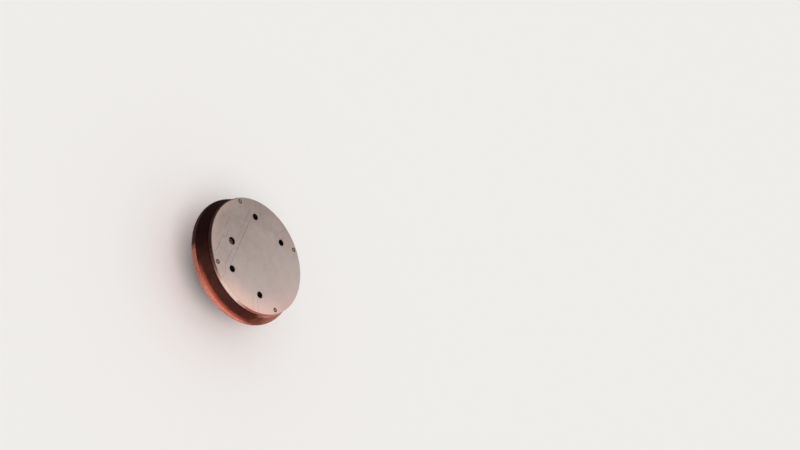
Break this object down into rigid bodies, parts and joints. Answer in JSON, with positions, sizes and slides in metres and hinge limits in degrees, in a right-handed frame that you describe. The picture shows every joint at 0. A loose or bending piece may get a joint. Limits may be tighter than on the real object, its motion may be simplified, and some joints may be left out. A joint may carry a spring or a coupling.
{
  "type": "uncrewed return capsule",
  "caption": "Blunt return capsule resting on its heat shield, with a flat back cover that lifts off a parachute bay.",
  "frame": {"origin": "centre of the small flat on the nose pole, on the floor", "axes": "+Z from the nose up through the back cover, +X along the long side of the socket rectangle"},
  "size_m": [0.8998, 0.8998, 0.412],
  "materials": {
    "heat_shield": "matte",
    "carrier": "satin",
    "side_wall": "satin",
    "deck": "satin",
    "seat": "satin",
    "seal": "matte",
    "can": "satin",
    "canopy": "matte",
    "canister": "satin",
    "connector": "satin",
    "cover": "matte",
    "cover_edge": "matte",
    "electronics": "satin",
    "battery": "satin",
    "socket": "matte",
    "sleeve": "matte",
    "fitting": "satin"
  },
  "bodies": {
    "capsule": {"shoulder_ring": "heat_shield", "carrier_shell": "carrier", "side_wall": "side_wall", "deck": "deck", "seat_ring": "seat", "cover_seal": "seal", "parachute_can": "can", "parachute_pack": "canopy", "payload_canister": "canister", "umbilical_connector": "connector", "avionics_box": "electronics", "battery_box": "battery", "beacon_box": "electronics", "sequencer_box": "electronics", "flank_tile_1": "heat_shield", "flank_tile_2": "heat_shield", "flank_tile_3": "heat_shield", "flank_tile_4": "heat_shield", "flank_tile_5": "heat_shield", "flank_tile_6": "heat_shield", "flank_tile_7": "heat_shield", "flank_tile_8": "heat_shield", "nose_tile_1": "heat_shield", "socket_tube_1": "socket", "nose_tile_2": "heat_shield", "socket_tube_2": "socket", "nose_tile_3": "heat_shield", "socket_tube_3": "socket", "nose_tile_4": "heat_shield", "socket_tube_4": "socket"},
    "back_cover": {"cover_skin": "cover", "cover_frame": "cover_edge", "harness_cover": "cover", "umbilical_panel": "cover", "release_fitting_1": "fitting", "release_fitting_2": "fitting", "release_fitting_3": "fitting", "release_fitting_4": "fitting", "port_sleeve": "sleeve", "socket_sleeve_1": "sleeve", "socket_sleeve_2": "sleeve", "socket_sleeve_3": "sleeve", "socket_sleeve_4": "sleeve"}
  },
  "joints": [
    {"name": "back_cover_release", "type": "slide", "parent": "capsule", "child": "back_cover", "axis": [0, 0, 1], "range_m": [0, 0.3]}
  ]
}
